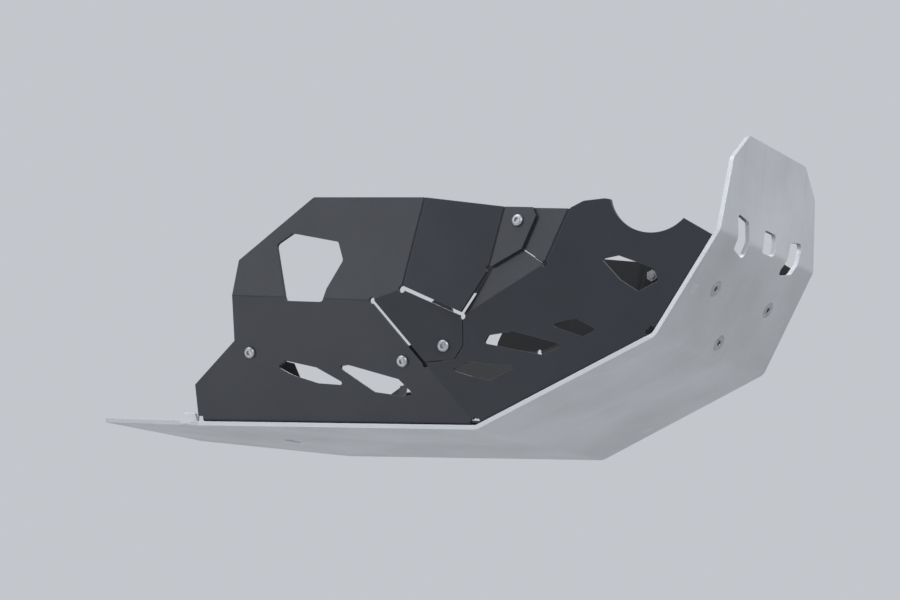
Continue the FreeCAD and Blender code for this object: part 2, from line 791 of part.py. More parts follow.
def nut(place, direction, width, height, thread):
    """A hexagon nut standing on a place."""
    body = hex_prism(width, height, place, direction)
    return body.cut(Part.makeCylinder((thread + thread_play) / 2, height, place, direction))


def washer(place, direction, diameter, thread):
    return tube(diameter, thread + hole_clearance, washer_height, place, direction)


def panel_fixing(face, place, backing):
    """The screw and nut that clamp a panel face to the sheet behind it."""
    seat = face.at(place)
    grip = panel_thickness + backing
    return button_screw(seat, face.normal, grip), nut(
        seat - face.normal * grip, face.normal * -1, nut_width, nut_height, thread_diameter)


def bush_hole(place, direction):
    """The hole in a bracket that a rubber bush sits in."""
    start = place - direction * hole_reach
    return Part.makeCylinder(bush_hole_diameter / 2, 2 * hole_reach, start, direction)


def corner_strap():
    """The bent strap that ties the two sides of the slit together from behind."""
    rear_seat = rear_face.shifted(-panel_thickness)
    front_seat = front_face.shifted(-panel_thickness)
    run = Vector(flap_screw[0] - slit_screw[0], 0, flap_screw[1] - slit_screw[1]).normalize()
    across = Vector(-run.z, 0, run.x)
    first = Vector(slit_screw[0], 0, slit_screw[1])
    last = Vector(flap_screw[0], 0, flap_screw[1])
    low = Plane(first - across * strap_half_width, across)
    high = Plane(first + across * strap_half_width, across)
    rear_end = Plane(first - run * strap_overhang, run)
    front_end = Plane(last + run * strap_overhang, run)
    bend = mitre(rear_seat, front_seat)
    strap = facet(rear_seat, [low, bend, high, rear_end], strap_thickness)
    strap = strap.fuse(facet(front_seat, [low, front_end, high, bend], strap_thickness)).removeSplitter()
    strap = soften(strap, [(rear_seat, front_seat)], panel_bend_radius + strap_thickness)
    for face, place in ((rear_face, slit_screw), (front_face, flap_screw)):
        strap = strap.cut(thread_hole(face.at(place), face.normal))
    return strap


# Rear bracket: its foot lies on the panel's belly flange and its upright against the rear face
bracket_foot = belly_top.shifted(-panel_thickness)
bracket_upright = rear_face.shifted(-panel_thickness)
bracket_rear_x = rear_screw[0] - bracket_length / 2
bracket_front_x = rear_screw[0] + bracket_length / 2
bracket_floor = plate_thickness + panel_thickness + bracket_thickness
ear_bolt_z = bracket_floor + mount_ear_bolt_height
ear_bolt_y = bracket_upright.at((bracket_front_x, ear_bolt_z)).y + mount_ear_bolt_inward
ear_bolt = Vector(bracket_front_x, ear_bolt_y, ear_bolt_z)
ahead = Vector(1, 0, 0)


def rear_bracket():
    """A folded bracket with an upright, a foot and an ear that takes the rear mounting bolt."""
    rear_end = Plane(Vector(bracket_rear_x, 0, 0), ahead)
    front_end = Plane(Vector(bracket_front_x, 0, 0), ahead)
    bend = mitre(bracket_upright, bracket_foot)
    top = Plane(Vector(0, 0, rear_screw[1] + bracket_above_screw), Vector(0, 0, 1))
    start = meet(bracket_upright, bracket_foot, rear_end)
    end = meet(bracket_upright, bracket_foot, front_end)
    inward = inward_from(bracket_foot, end - start)
    inner = Plane(start + inward * (foot_width - panel_thickness), inward)
    upright = facet(bracket_upright, [bend, front_end, top, rear_end], bracket_thickness)
    foot = facet(bracket_foot, [bend, front_end, inner, rear_end], bracket_thickness)
    bracket = upright.fuse(foot).removeSplitter()
    pair = [(bracket_upright, bracket_foot)]
    bracket = soften(bracket, pair, bracket_bend_radius + bracket_thickness)
    ear_top = bracket_floor + mount_ear_height
    low_y = bracket_upright.at((bracket_front_x, bracket_floor)).y + bracket_thickness
    high_y = bracket_upright.at((bracket_front_x, ear_top)).y + bracket_thickness / 2
    inner_y = low_y + mount_ear_reach
    loop = [(low_y, bracket_floor), (high_y, ear_top), (inner_y - mount_ear_corner, ear_top)]
    loop += [(inner_y, ear_top - mount_ear_corner), (inner_y, bracket_floor)]
    corners = [Vector(bracket_front_x, y, z) for y, z in loop]
    ear = Part.Face(Part.makePolygon(corners + corners[:1])).extrude(ahead * -bracket_thickness)
    bracket = bracket.fuse(ear).removeSplitter()
    bracket = bracket.cut(bush_hole(ear_bolt, ahead))
    bracket = bracket.cut(thread_hole(rear_face.at(rear_screw), rear_face.normal))
    for place, down in foot_fixings[:belly_fixing_count]:
        bracket = bracket.cut(thread_hole(place, down))
    return bracket


# Front bracket: lies on the second ramp's inside, with a shelf turned back from its upper end
shelf_bend = fold_2 + ramp_2_run * front_bracket_high - ramp_2_top.normal * plate_thickness
shelf_face = Plane(shelf_bend, Vector(0, 0, 1))
shelf_bolts = []
front_bolt_spread = front_bracket_half_width - front_bolt_from_side
for across in (-front_bolt_spread, front_bolt_spread):
    shelf_bolts.append(shelf_bend + Vector(-front_shelf_bolt, across, 0))


def front_bracket():
    """A T-shaped folded plate behind the second ramp that takes the front mounting bolts."""
    left = Vector(0, 1, 0)
    bend = mitre(ramp_2_top, shelf_face)
    low = Plane(fold_2 + ramp_2_run * front_bracket_low, ramp_2_run)
    tongue = Plane(fold_2 + ramp_2_run * front_tongue_low, ramp_2_run)
    half = left * front_bracket_half_width
    narrow = left * front_tongue_half_width
    sides = [Plane(half, left), low, Plane(narrow, left), tongue]
    sides += [Plane(narrow * -1, left), low, Plane(half * -1, left)]
    back = facet(ramp_2_top, [bend] + sides, front_bracket_thickness)
    end = Plane(shelf_bend - ahead * front_shelf_length, ahead)
    shelf_sides = [bend, Plane(half, left), end, Plane(half * -1, left)]
    shelf = facet(shelf_face, shelf_sides, front_bracket_thickness)
    bracket = back.fuse(shelf).removeSplitter()
    inner = [(ramp_2_top.shifted(-front_bracket_thickness), shelf_face.shifted(-front_bracket_thickness))]
    outer_bend_radius = front_bracket_bend_radius + front_bracket_thickness
    bracket = soften(bracket, [(ramp_2_top, shelf_face)], outer_bend_radius)
    bracket = soften(bracket, inner, front_bracket_bend_radius)
    for place, outward in front_fixings:
        radius = (countersunk_thread + hole_clearance) / 2
        bracket = bracket.cut(Part.makeCylinder(radius, far, place, outward * -1))
    for bolt in shelf_bolts:
        bracket = bracket.cut(bush_hole(bolt, shelf_face.normal))
    return bracket


def countersunk_screw(place, outward):
    """A countersunk socket screw flush with the plate, long enough for its washer and nut."""
    inward = outward * -1
    head = countersunk_head_diameter / 2 - thread_play
    shank = countersunk_thread / 2
    depth = (head - shank) / math.tan(math.radians(countersunk_angle / 2))
    grip = plate_thickness + front_bracket_thickness + washer_height
    screw = Part.makeCone(head, shank, depth, place, inward)
    screw = screw.fuse(Part.makeCylinder(shank, grip + large_nut_height + thread_beyond_nut, place, inward))
    socket = hex_prism(countersunk_socket_width, countersunk_socket_depth, place, inward)
    return screw.cut(socket).removeSplitter()


def clinch_stud(place, down, layers):
    """A stud pressed in flush from below, through the plate and the layers of sheet on it."""
    bottom = place + down * plate_thickness
    head = Part.makeCylinder(stud_head_diameter / 2 - thread_play, stud_head_height, bottom, down * -1)
    length = plate_thickness + layers + washer_height + nut_height + thread_beyond_nut
    return head.fuse(Part.makeCylinder(thread_diameter / 2, length, bottom, down * -1)).removeSplitter()


def rubber_bush(face_place, outward, thickness):
    """A rubber bush with a flange on each side of the sheet that it sits in."""
    inner = sleeve_outer_diameter + 2 * bush_play
    neck = bush_hole_diameter / 2 - bush_play
    back = face_place - outward * thickness
    bottom = back - outward * bush_flange_height
    body = Part.makeCylinder(neck, thickness, back, outward)
    for start in (face_place, bottom):
        body = body.fuse(Part.makeCylinder(bush_flange_diameter / 2, bush_flange_height, start, outward))
    height = thickness + 2 * bush_flange_height
    return body.cut(Part.makeCylinder(inner / 2, height, bottom, outward)).removeSplitter()


def sleeve(face_place, outward, thickness):
    """The steel sleeve inside a rubber bush, standing out a little at both ends."""
    reach = bush_flange_height + sleeve_stand_out
    start = face_place - outward * (thickness + reach)
    return tube(sleeve_outer_diameter, sleeve_bore, thickness + 2 * reach, start, outward)


def both_sides(solids):
    """The solids of the right-hand side with their mirror images."""
    return solids + [mirrored(solid) for solid in solids]


os.makedirs("parts", exist_ok=True)
nodes = {"base_plate": [skid_plate()]}
right_panel = side_panel()
right_strap = corner_strap()
right_bracket = rear_bracket()
nodes["right_side_panel"] = [right_panel]
nodes["left_side_panel"] = [mirrored(right_panel)]
nodes["right_corner_strap"] = [right_strap]
nodes["left_corner_strap"] = [mirrored(right_strap)]
nodes["right_rear_bracket"] = [right_bracket]
nodes["left_rear_bracket"] = [mirrored(right_bracket)]
nodes["front_bracket"] = [front_bracket()]

tab_fixing = panel_fixing(tab_face, tab_screw, panel_thickness + tab_gap)
strap_fixings = [panel_fixing(rear_face, slit_screw, strap_thickness)]
strap_fixings.append(panel_fixing(front_face, flap_screw, strap_thickness))
bracket_fixing = panel_fixing(rear_face, rear_screw, bracket_thickness)
nodes["tab_screws"] = both_sides([tab_fixing[0]])
nodes["tab_nuts"] = both_sides([tab_fixing[1]])
nodes["strap_screws"] = both_sides([fixing[0] for fixing in strap_fixings])
nodes["strap_nuts"] = both_sides([fixing[1] for fixing in strap_fixings])
nodes["rear_bracket_screws"] = both_sides([bracket_fixing[0]])
nodes["rear_bracket_nuts"] = both_sides([bracket_fixing[1]])

studs = []
washers = []
nuts = []
for place, down in foot_fixings:
    under_bracket = bracket_rear_x < place.x < bracket_front_x and down.isEqual(belly_top.normal, same_turn)
    layers = panel_thickness + (bracket_thickness if under_bracket else 0.0)
    up = down * -1
    studs.append(clinch_stud(place, down, layers))
    washers.append(washer(place + up * layers, up, washer_diameter, thread_diameter))
    nut_seat = place + up * (layers + washer_height)
    nuts.append(nut(nut_seat, up, nut_width, nut_height, thread_diameter))
nodes["belly_studs"] = both_sides(studs[:belly_fixing_count])
nodes["ramp_studs"] = both_sides(studs[belly_fixing_count:])
nodes["belly_washers"] = both_sides(washers[:belly_fixing_count])
nodes["ramp_washers"] = both_sides(washers[belly_fixing_count:])
nodes["belly_nuts"] = both_sides(nuts[:belly_fixing_count])
nodes["ramp_nuts"] = both_sides(nuts[belly_fixing_count:])

front_stack = plate_thickness + front_bracket_thickness
inside = ramp_2_top.normal * -1
nodes["front_screws"] = [countersunk_screw(place, outward) for place, outward in front_fixings]
nodes["front_washers"] = [
    washer(place + inside * front_stack, inside, large_washer_diameter, countersunk_thread)
    for place, outward in front_fixings
]
nut_level = inside * (front_stack + washer_height)
nodes["front_nuts"] = [
    nut(place + nut_level, inside, large_nut_width, large_nut_height, countersunk_thread)
    for place, outward in front_fixings
]
shelf_up = shelf_face.normal
nodes["front_bushes"] = [rubber_bush(bolt, shelf_up, front_bracket_thickness) for bolt in shelf_bolts]
nodes["front_sleeves"] = [sleeve(bolt, shelf_up, front_bracket_thickness) for bolt in shelf_bolts]
nodes["rear_bushes"] = both_sides([rubber_bush(ear_bolt, ahead, bracket_thickness)])
nodes["rear_sleeves"] = both_sides([sleeve(ear_bolt, ahead, bracket_thickness)])

for name, solids in nodes.items():
    shape = solids[0] if len(solids) == 1 else Part.makeCompound(solids)
    shape.exportStep("parts/" + name + ".step")
    print(name, shape.isValid(), len(shape.Solids), round(shape.Volume))
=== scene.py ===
import math

import bpy
import numpy as np
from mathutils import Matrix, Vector

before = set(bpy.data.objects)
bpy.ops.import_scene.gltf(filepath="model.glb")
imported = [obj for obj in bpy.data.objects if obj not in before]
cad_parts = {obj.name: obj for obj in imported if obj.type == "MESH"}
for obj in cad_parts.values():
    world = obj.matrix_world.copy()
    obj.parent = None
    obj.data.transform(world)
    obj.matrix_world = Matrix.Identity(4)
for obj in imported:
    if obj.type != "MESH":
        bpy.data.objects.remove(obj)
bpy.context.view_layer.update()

# Skid plate: one bare aluminium sheet, 4 mm thick, laser cut and folded at four lines.
# It is left uncoated, so the rolls' fine grain shows along its length, clouded by handling.
# Its cut sides and rounded edges are painted paler than its faces, as painted highlights, and its cut
# sides are also rougher. The brackets and studs fix the rest to it.
PLATE_GREY = (0.605, 0.61, 0.62, 1.0)
PLATE_DULL = (0.485, 0.487, 0.492, 1.0)
# The edge colour is a painted highlight along the plate's rounded edges.
PLATE_EDGE_HIGHLIGHT = (0.80, 0.805, 0.815, 1.0)
# The cut colour is a painted highlight on the plate's cut sides.
PLATE_CUT_HIGHLIGHT = (0.65, 0.655, 0.665, 1.0)
PLATE_CLOUDS = 9.0
PLATE_CLOUD_DETAIL = 5.0
PLATE_CLOUD_STOPS = (0.3, 0.65)
PLATE_GRAIN = (16.0, 620.0, 16.0)
PLATE_GRAIN_DETAIL = 3.0
PLATE_GRAIN_ROUGHNESS = (0.36, 0.46)
PLATE_GRAIN_STRENGTH = 0.10
PLATE_GRAIN_DEPTH = 0.0003
PLATE_HAIRLINES = (7.0, 260.0, 5.0)
PLATE_HAIRLINE_DETAIL = 1.0
PLATE_HAIRLINE_BAND = (0.62, 0.72)
PLATE_HAIRLINE_ROUGHNESS = (0.0, 0.10)
PLATE_CUT_LEAN = (0.3, 0.4)
PLATE_CUT_ROUGHNESS = (0.0, 0.24)
PLATE_EDGE_ROUND = 0.0006
EDGE_SAMPLES = 6
EDGE_MATCH = (0.86, 0.99)
BARE_METALLIC = 1.0
BARE_SPECULAR = 0.5
NOISE_BAND = (0.25, 0.75)
MASK_RISE = (0.0, 1.0)
MASK_FALL = (1.0, 0.0)


def new_finish(name, metallic, specular):
    """A material with one Principled shader, and its node tree, shader and Object coordinates."""
    finish = bpy.data.materials.new(name)
    finish.use_nodes = True
    tree = finish.node_tree
    shader = tree.nodes["Principled BSDF"]
    shader.inputs["Metallic"].default_value = metallic
    shader.inputs["Specular IOR Level"].default_value = specular
    place = tree.nodes.new("ShaderNodeTexCoord").outputs["Object"]
    return finish, tree, shader, place


def add_noise(tree, place, detail, size=1.0, stretch=(1.0, 1.0, 1.0)):
    """A noise pattern of the given size per metre, stretched along the part's axes."""
    mapping = tree.nodes.new("ShaderNodeMapping")
    mapping.inputs["Scale"].default_value = stretch
    tree.links.new(place, mapping.inputs["Vector"])
    noise = tree.nodes.new("ShaderNodeTexNoise")
    noise.inputs["Scale"].default_value = size
    noise.inputs["Detail"].default_value = detail
    tree.links.new(mapping.outputs["Vector"], noise.inputs["Vector"])
    return noise.outputs["Fac"]


def add_ramp(tree, value, stops, first, last):
    """A colour over a pattern, from the first colour at the lower stop to the last at the upper."""
    ramp = tree.nodes.new("ShaderNodeValToRGB")
    lower, upper = ramp.color_ramp.elements
    lower.position, upper.position = stops
    lower.color, upper.color = first, last
    tree.links.new(value, ramp.inputs["Fac"])
    return ramp.outputs["Color"]


def add_range(tree, value, span, band=NOISE_BAND):
    """A value carried from a band onto a span, and held at the span's ends outside the band."""
    carried = tree.nodes.new("ShaderNodeMapRange")
    carried.inputs["From Min"].default_value, carried.inputs["From Max"].default_value = band
    carried.inputs["To Min"].default_value, carried.inputs["To Max"].default_value = span
    tree.links.new(value, carried.inputs["Value"])
    return carried.outputs["Result"]


def round_edges(tree, radius):
    """The normal of a surface whose edges are rounded by a radius in metres."""
    rounded = tree.nodes.new("ShaderNodeBevel")
    rounded.samples = EDGE_SAMPLES
    rounded.inputs["Radius"].default_value = radius
    return rounded.outputs["Normal"]


def add_edge_highlight_mask(tree, edge_normal):
    """A mask that is 1 along rounded edges and 0 on the flat, where a paler colour is painted as a
    highlight.

    It rises as the dot product of the rounded normal and the face's own normal falls from 1.
    """
    flat = tree.nodes.new("ShaderNodeNewGeometry")
    match = tree.nodes.new("ShaderNodeVectorMath")
    match.operation = "DOT_PRODUCT"
    tree.links.new(edge_normal, match.inputs[0])
    tree.links.new(flat.outputs["Normal"], match.inputs[1])
    return add_range(tree, match.outputs["Value"], MASK_FALL, EDGE_MATCH)


def add_cut_mask(tree):
    """A mask that is 1 on the plate's cut sides, whose normals lean to Y as no face of it does."""
    flat = tree.nodes.new("ShaderNodeNewGeometry")
    parts = tree.nodes.new("ShaderNodeSeparateXYZ")
    tree.links.new(flat.outputs["Normal"], parts.inputs["Vector"])
    lean = tree.nodes.new("ShaderNodeMath")
    lean.operation = "ABSOLUTE"
    tree.links.new(parts.outputs["Y"], lean.inputs[0])
    return add_range(tree, lean.outputs["Value"], MASK_RISE, PLATE_CUT_LEAN)


def add_mix(tree, mask, first, second):
    """A colour that goes from the first to a second, fixed one as the mask goes from 0 to 1."""
    mix = tree.nodes.new("ShaderNodeMix")
    mix.data_type = "RGBA"
    tree.links.new(mask, mix.inputs["Factor"])
    tree.links.new(first, mix.inputs["A"])
    mix.inputs["B"].default_value = second
    return mix.outputs["Result"]


def add_sum(tree, first, second):
    """The sum of two patterns."""
    total = tree.nodes.new("ShaderNodeMath")
    total.operation = "ADD"
    tree.links.new(first, total.inputs[0])
    tree.links.new(second, total.inputs[1])
    return total.outputs["Value"]


def add_bump(tree, shader, height, strength, depth, normal=None):
    """A bump on the shader from a height pattern, with its depth in metres, over a normal."""
    bump = tree.nodes.new("ShaderNodeBump")
    bump.inputs["Strength"].default_value = strength
    bump.inputs["Distance"].default_value = depth
    tree.links.new(height, bump.inputs["Height"])
    if normal is not None:
        tree.links.new(normal, bump.inputs["Normal"])
    tree.links.new(bump.outputs["Normal"], shader.inputs["Normal"])


def set_look(tree, shader, colour, roughness):
    """Links a colour and a roughness to the shader."""
    tree.links.new(colour, shader.inputs["Base Color"])
    tree.links.new(roughness, shader.inputs["Roughness"])


def dress(names, finish):
    """Gives CAD nodes a finish in place of any that they have."""
    for name in names:
        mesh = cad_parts[name].data
        mesh.materials.clear()
        mesh.materials.append(finish)


plate_finish, tree, shader, place = new_finish("bare_rolled_aluminium", BARE_METALLIC, BARE_SPECULAR)
edge_normal = round_edges(tree, PLATE_EDGE_ROUND)
cloud = add_noise(tree, place, PLATE_CLOUD_DETAIL, PLATE_CLOUDS)
plate_colour = add_ramp(tree, cloud, PLATE_CLOUD_STOPS, PLATE_DULL, PLATE_GREY)
cut_mask = add_cut_mask(tree)
# The plate's cut sides are painted paler, a painted highlight; the roughness added to them further
# down is real.
cut_highlight_colour = add_mix(tree, cut_mask, plate_colour, PLATE_CUT_HIGHLIGHT)
# The rounded edges are painted paler still: a painted highlight.
edge_highlit_colour = add_mix(tree, add_edge_highlight_mask(tree, edge_normal), cut_highlight_colour, PLATE_EDGE_HIGHLIGHT)
grain = add_noise(tree, place, PLATE_GRAIN_DETAIL, stretch=PLATE_GRAIN)
hairlines = add_noise(tree, place, PLATE_HAIRLINE_DETAIL, stretch=PLATE_HAIRLINES)
grain_roughness = add_range(tree, grain, PLATE_GRAIN_ROUGHNESS)
hairline_roughness = add_range(tree, hairlines, PLATE_HAIRLINE_ROUGHNESS, PLATE_HAIRLINE_BAND)
face_roughness = add_sum(tree, grain_roughness, hairline_roughness)
cut_roughness = add_range(tree, cut_mask, PLATE_CUT_ROUGHNESS, MASK_RISE)
set_look(tree, shader, edge_highlit_colour, add_sum(tree, face_roughness, cut_roughness))
add_bump(tree, shader, grain, PLATE_GRAIN_STRENGTH, PLATE_GRAIN_DEPTH, edge_normal)
dress(["base_plate"], plate_finish)

# Side panels: one aluminium sheet each, 3 mm thick, cut, slit and folded so that its flaps overlap.
# They are powder coated in satin black with a fine grit, and flat inside. A paler colour is painted
# along the edges as a painted highlight, and a darker one on the faces turned inward as painted shade.
# Their feet are turned in over the plate's studs, and a strap ties the corner behind the slit.
COAT_BLACK = (0.0205, 0.0226, 0.0288, 1.0)
COAT_GREY = (0.0262, 0.0288, 0.0362, 1.0)
# The inside colour is painted shade on the faces turned to the guard's middle.
COAT_INSIDE_SHADE = (0.0095, 0.0100, 0.0112, 1.0)
# The edge colour is a painted highlight along the panels' rounded edges.
COAT_EDGE_HIGHLIGHT = (0.072, 0.073, 0.078, 1.0)
COAT_CLOUDS = 14.0
COAT_CLOUD_DETAIL = 4.0
COAT_CLOUD_STOPS = (0.32, 0.7)
COAT_PEEL = 520.0
COAT_PEEL_ROUGHNESS = (0.30, 0.37)
COAT_GRIT = 2400.0
COAT_GRIT_DETAIL = 2.0
COAT_GRIT_STRENGTH = 0.22
COAT_GRIT_DEPTH = 0.00012
COAT_INSIDE_BAND = (-0.05, -0.02)
COAT_INSIDE_ROUGHNESS = (0.0, 0.2)
COAT_EDGE_ROUND = 0.0008
COAT_METALLIC = 0.0
COAT_SPECULAR = 0.42


def add_inside_mask(tree, place):
    """A mask that is 1 on faces turned to the guard's middle: Y times the normal's Y is negative."""
    flat = tree.nodes.new("ShaderNodeNewGeometry")
    turned = tree.nodes.new("ShaderNodeVectorMath")
    turned.operation = "MULTIPLY"
    tree.links.new(place, turned.inputs[0])
    tree.links.new(flat.outputs["Normal"], turned.inputs[1])
    parts = tree.nodes.new("ShaderNodeSeparateXYZ")
    tree.links.new(turned.outputs["Vector"], parts.inputs["Vector"])
    return add_range(tree, parts.outputs["Y"], MASK_FALL, COAT_INSIDE_BAND)


coat_finish, tree, shader, place = new_finish("satin_black_powder_coat", COAT_METALLIC, COAT_SPECULAR)
edge_normal = round_edges(tree, COAT_EDGE_ROUND)
cloud = add_noise(tree, place, COAT_CLOUD_DETAIL, COAT_CLOUDS)
coat_colour = add_ramp(tree, cloud, COAT_CLOUD_STOPS, COAT_BLACK, COAT_GREY)
inside_mask = add_inside_mask(tree, place)
# Faces turned inward are painted darker, as painted shade; the extra roughness given to them is real.
inside_shaded_colour = add_mix(tree, inside_mask, coat_colour, COAT_INSIDE_SHADE)
# The rounded edges are painted paler: a painted highlight.
edge_highlit_colour = add_mix(tree, add_edge_highlight_mask(tree, edge_normal), inside_shaded_colour, COAT_EDGE_HIGHLIGHT)
grit = add_noise(tree, place, COAT_GRIT_DETAIL, COAT_GRIT)
peel = add_noise(tree, place, COAT_GRIT_DETAIL, COAT_PEEL)
peel_roughness = add_range(tree, peel, COAT_PEEL_ROUGHNESS)
inside_roughness = add_range(tree, inside_mask, COAT_INSIDE_ROUGHNESS, MASK_RISE)
set_look(tree, shader, edge_highlit_colour, add_sum(tree, peel_roughness, inside_roughness))
add_bump(tree, shader, add_sum(tree, grit, peel), COAT_GRIT_STRENGTH, COAT_GRIT_DEPTH, edge_normal)
dress(["right_side_panel", "left_side_panel"], coat_finish)

# Brackets and corner straps: folded steel behind the panels and the second ramp.
# They are coated in a plain black, duller than the panels', and are hidden once the guard is fitted.
BRACKET_BLACK = (0.017, 0.017, 0.0185, 1.0)
BRACKET_GREY = (0.025, 0.025, 0.027, 1.0)
# The edge colour is a painted highlight along the brackets' rounded edges.
BRACKET_EDGE_HIGHLIGHT = (0.060, 0.060, 0.063, 1.0)
BRACKET_RIPPLE = 260.0
BRACKET_RIPPLE_DETAIL = 2.0
BRACKET_RIPPLE_STOPS = (0.35, 0.7)
BRACKET_RIPPLE_STRENGTH = 0.2
BRACKET_RIPPLE_DEPTH = 0.0002
BRACKET_ROUGHNESS = (0.36, 0.48)
BRACKET_SPECULAR = 0.45

bracket_finish, tree, shader, place = new_finish("black_bracket_coat", COAT_METALLIC, BRACKET_SPECULAR)
edge_normal = round_edges(tree, COAT_EDGE_ROUND)
ripple = add_noise(tree, place, BRACKET_RIPPLE_DETAIL, BRACKET_RIPPLE)
bracket_colour = add_ramp(tree, ripple, BRACKET_RIPPLE_STOPS, BRACKET_BLACK, BRACKET_GREY)
# The rounded edges are painted paler: a painted highlight.
edge_highlit_colour = add_mix(tree, add_edge_highlight_mask(tree, edge_normal), bracket_colour, BRACKET_EDGE_HIGHLIGHT)
set_look(tree, shader, edge_highlit_colour, add_range(tree, ripple, BRACKET_ROUGHNESS))
add_bump(tree, shader, ripple, BRACKET_RIPPLE_STRENGTH, BRACKET_RIPPLE_DEPTH, edge_normal)
dress(["front_bracket", "right_rear_bracket", "left_rear_bracket"], bracket_finish)
dress(["right_corner_strap", "left_corner_strap"], bracket_finish)

# Panel screws: button-head socket screws of stainless steel that clamp the flaps, straps and brackets.
# Their heads are turned bright, with faint stains from handling, and a nut holds each from behind.
STEEL_BRIGHT = (0.46, 0.465, 0.475, 1.0)
STEEL_STAINED = (0.34, 0.34, 0.342, 1.0)
STEEL_STAINS = 320.0
STEEL_STAIN_DETAIL = 3.0
STEEL_STAIN_STOPS = (0.3, 0.55)
STEEL_ROUGHNESS = (0.44, 0.34)
HEAD_EDGE_ROUND = 0.0003

steel_finish, tree, shader, place = new_finish("stainless_fasteners", BARE_METALLIC, BARE_SPECULAR)
stain = add_noise(tree, place, STEEL_STAIN_DETAIL, STEEL_STAINS)
steel_colour = add_ramp(tree, stain, STEEL_STAIN_STOPS, STEEL_STAINED, STEEL_BRIGHT)
set_look(tree, shader, steel_colour, add_range(tree, stain, STEEL_ROUGHNESS))
tree.links.new(round_edges(tree, HEAD_EDGE_ROUND), shader.inputs["Normal"])
dress(["tab_screws", "tab_nuts", "strap_screws", "strap_nuts"], steel_finish)
dress(["rear_bracket_screws", "rear_bracket_nuts"], steel_finish)

# Front screws: countersunk socket screws set flush into the second ramp, of the same stainless steel.
# Each passes through the plate and the front bracket into a washer and a nut.
dress(["front_screws", "front_washers", "front_nuts"], steel_finish)

# Studs, washers and nuts of the feet, of zinc-plated steel: the studs are pressed into the plate
# from below, and a washer and a nut on each hold a foot down. Sleeves of the same steel line the
# bushes, so that the mounting bolts clamp without crushing the rubber.
ZINC_PALE = (0.60, 0.61, 0.62, 1.0)
ZINC_DULL = (0.52, 0.53, 0.54, 1.0)
ZINC_SPANGLE = 500.0
ZINC_SPANGLE_DETAIL = 2.0
ZINC_SPANGLE_STOPS = (0.35, 0.65)
ZINC_ROUGHNESS = (0.32, 0.46)

zinc_finish, tree, shader, place = new_finish("zinc_plated_steel", BARE_METALLIC, BARE_SPECULAR)
spangle = add_noise(tree, place, ZINC_SPANGLE_DETAIL, ZINC_SPANGLE)
zinc_colour = add_ramp(tree, spangle, ZINC_SPANGLE_STOPS, ZINC_DULL, ZINC_PALE)
set_look(tree, shader, zinc_colour, add_range(tree, spangle, ZINC_ROUGHNESS))
tree.links.new(round_edges(tree, HEAD_EDGE_ROUND), shader.inputs["Normal"])
dress(["belly_studs", "belly_washers", "belly_nuts"], zinc_finish)
dress(["ramp_studs", "ramp_washers", "ramp_nuts"], zinc_finish)
dress(["front_sleeves", "rear_sleeves"], zinc_finish)

# Bushes: moulded black rubber with a flange on each side of the bracket that it is pressed into.
# They keep shaking out of the guard, and have a faint grey bloom.
RUBBER_BLACK = (0.014, 0.014, 0.014, 1.0)
RUBBER_BLOOM = (0.026, 0.026, 0.026, 1.0)
RUBBER_MOTTLE = 240.0
RUBBER_MOTTLE_DETAIL = 3.0
RUBBER_MOTTLE_STOPS = (0.35, 0.7)
RUBBER_MOTTLE_STRENGTH = 0.25
RUBBER_MOTTLE_DEPTH = 0.0002
RUBBER_ROUGHNESS = (0.68, 0.84)
RUBBER_METALLIC = 0.0
RUBBER_SPECULAR = 0.4

rubber_finish, tree, shader, place = new_finish("moulded_rubber", RUBBER_METALLIC, RUBBER_SPECULAR)
bloom = add_noise(tree, place, RUBBER_MOTTLE_DETAIL, RUBBER_MOTTLE)
rubber_colour = add_ramp(tree, bloom, RUBBER_MOTTLE_STOPS, RUBBER_BLACK, RUBBER_BLOOM)
set_look(tree, shader, rubber_colour, add_range(tree, bloom, RUBBER_ROUGHNESS))
add_bump(tree, shader, bloom, RUBBER_MOTTLE_STRENGTH, RUBBER_MOTTLE_DEPTH)
dress(["front_bushes", "rear_bushes"], rubber_finish)

# Studio floor: a wide pale sheet well below the guard, because the view is from below its belly.
# It isn't part of the guard, and is there for its shadow and for what the bare metal reflects.
FLOOR_LEVEL = -0.46
FLOOR_REACH = 9.0
FLOOR_LINES = 13
FLOOR_PALE = (0.78, 0.78, 0.785, 1.0)
FLOOR_PALER = (0.81, 0.81, 0.815, 1.0)
FLOOR_MOTTLE = 3.0
FLOOR_MOTTLE_DETAIL = 2.0
FLOOR_MOTTLE_STOPS = (0.3, 0.7)
FLOOR_ROUGHNESS = 0.9
FLOOR_METALLIC = 0.0
FLOOR_SPECULAR = 0.3


def floor_sheet(reach, level, count):
    """A flat square grid: x and y run evenly from minus reach to reach, and z is the level."""
    across = np.linspace(-reach, reach, count)
    x, y = np.meshgrid(across, across, indexing="ij")
    points = np.stack([x, y, np.full_like(x, level)], axis=-1).reshape(-1, 3)
    index = np.arange(count * count).reshape(count, count)
    quads = np.stack([index[:-1, :-1], index[1:, :-1], index[1:, 1:], index[:-1, 1:]], axis=-1)
    return points, quads.reshape(-1, 4)


floor_mesh = bpy.data.meshes.new("studio_floor")
floor_points, floor_quads = floor_sheet(FLOOR_REACH, FLOOR_LEVEL, FLOOR_LINES)
floor_mesh.from_pydata(floor_points.tolist(), [], floor_quads.tolist())
floor = bpy.data.objects.new("studio_floor", floor_mesh)
bpy.context.scene.collection.objects.link(floor)
floor_finish, tree, shader, place = new_finish("pale_floor", FLOOR_METALLIC, FLOOR_SPECULAR)
shader.inputs["Roughness"].default_value = FLOOR_ROUGHNESS
mottle = add_noise(tree, place, FLOOR_MOTTLE_DETAIL, FLOOR_MOTTLE)
floor_colour = add_ramp(tree, mottle, FLOOR_MOTTLE_STOPS, FLOOR_PALE, FLOOR_PALER)
tree.links.new(floor_colour, shader.inputs["Base Color"])
floor_mesh.materials.append(floor_finish)

